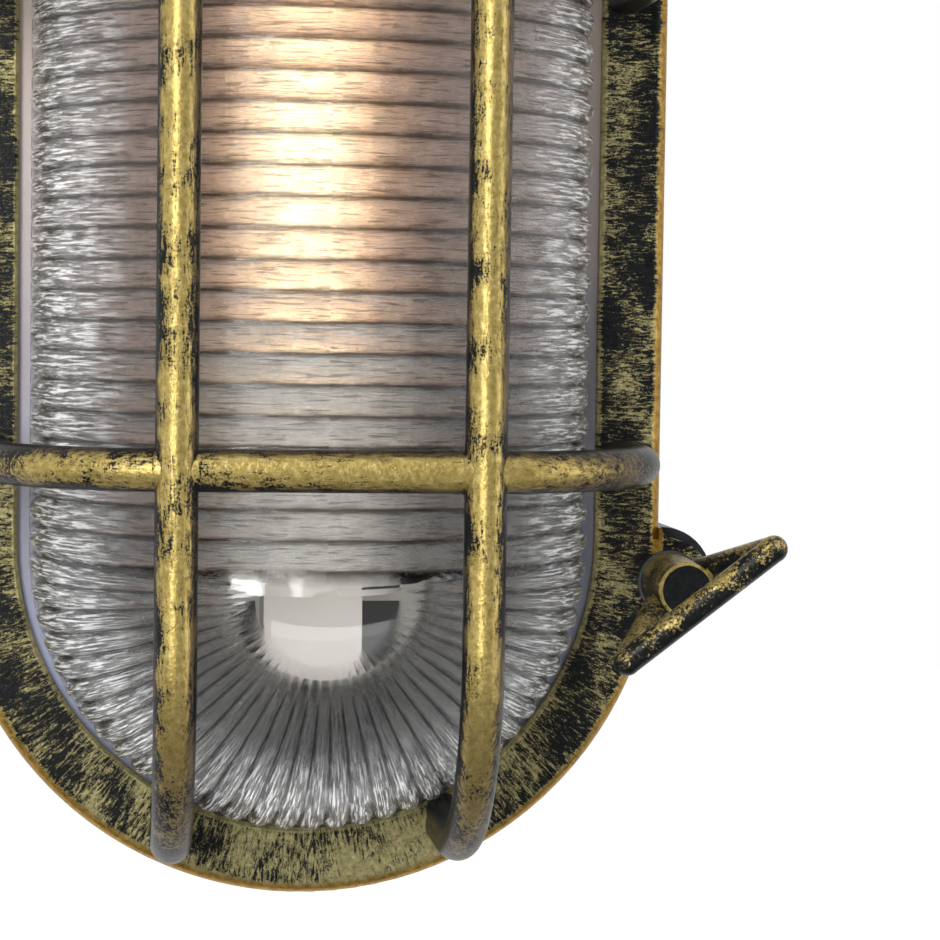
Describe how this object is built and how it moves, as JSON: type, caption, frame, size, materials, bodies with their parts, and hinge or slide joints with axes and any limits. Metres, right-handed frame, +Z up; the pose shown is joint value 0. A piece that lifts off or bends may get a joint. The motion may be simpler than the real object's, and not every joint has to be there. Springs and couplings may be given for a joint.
{
  "type": "wall light",
  "caption": "Oblong caged bulkhead wall light: cast housing, hinged front frame with guard bars, ribbed glass dome, lamp holder with lit lamp, ring-headed closing screws.",
  "frame": {"origin": "centre of the four wall screws, on the wall face", "axes": "+Z up along the light, +Y into the wall, -Y into the room, +X to the right seen from the front"},
  "size_m": [0.1839, 0.1142, 0.293],
  "materials": {
    "housing_black": "satin",
    "frame_black_gold": "satin black, brushed over with dull gold",
    "ribbed_glass": "clear, ribbed",
    "gasket_silicone": "matt",
    "seal_rubber": "matt",
    "zinc_steel": "zinc plated",
    "screw_gold": "satin black, brushed over with dull gold",
    "brass": "plain",
    "holder_porcelain": "glazed",
    "bracket_white": "satin",
    "bulb_glass": "lit, warm white",
    "cap_metal": "plain",
    "block_plastic": "matt",
    "lead_brown": "matt",
    "lead_blue": "matt",
    "lead_earth": "green and yellow",
    "grommet_rubber": "matt"
  },
  "bodies": {
    "housing": {"housing": "housing_black", "hinge_pins": "brass", "lamp_holder": "holder_porcelain", "holder_shell": "brass", "centre_contact": "brass", "holder_bracket": "bracket_white", "neck_screws": "zinc_steel", "bracket_screws": "zinc_steel", "bulb": "bulb_glass", "bulb_cap": "cap_metal", "terminal_block": "block_plastic", "clamp_screws": "brass", "block_screws": "zinc_steel", "earth_screw": "brass", "earth_tag": "zinc_steel", "brown_lead": "lead_brown", "blue_lead": "lead_blue", "earth_lead": "lead_earth", "cable_grommet": "grommet_rubber", "wall_screw_seals": "grommet_rubber"},
    "front_frame": {"front_frame": "frame_black_gold", "glass": "ribbed_glass", "glass_gasket": "gasket_silicone", "frame_seal": "seal_rubber", "glass_clips": "zinc_steel", "clip_screws": "zinc_steel"},
    "lower_washer": {"screw_washer_lower": "zinc_steel"},
    "lower_screw": {"ring_screw_lower": "screw_gold"},
    "upper_washer": {"screw_washer_upper": "zinc_steel"},
    "upper_screw": {"ring_screw_upper": "screw_gold"}
  },
  "joints": [
    {"name": "frame_hinge", "type": "hinge", "parent": "housing", "child": "front_frame", "pos_m": [-0.083, -0.04215, 0], "axis": [0, 0, -1], "range_deg": [0, 110]},
    {"name": "lower_screw_draw", "type": "slide", "parent": "front_frame", "child": "lower_washer", "axis": [0, -1, 0], "range_m": [0, 0.01]},
    {"name": "lower_screw_turn", "type": "hinge", "parent": "lower_washer", "child": "lower_screw", "pos_m": [0.0793, -0.05, -0.0776], "axis": [0, -1, 0], "range_deg": [0, 1800]},
    {"name": "upper_screw_draw", "type": "slide", "parent": "front_frame", "child": "upper_washer", "axis": [0, -1, 0], "range_m": [0, 0.01]},
    {"name": "upper_screw_turn", "type": "hinge", "parent": "upper_washer", "child": "upper_screw", "pos_m": [0.0793, -0.05, 0.0776], "axis": [0, -1, 0], "range_deg": [0, 1800]}
  ],
  "couplings": [
    {"joint": "lower_screw_turn", "follows": "lower_screw_draw", "rad_per_m": 3141.6},
    {"joint": "upper_screw_turn", "follows": "upper_screw_draw", "rad_per_m": 3141.6}
  ]
}
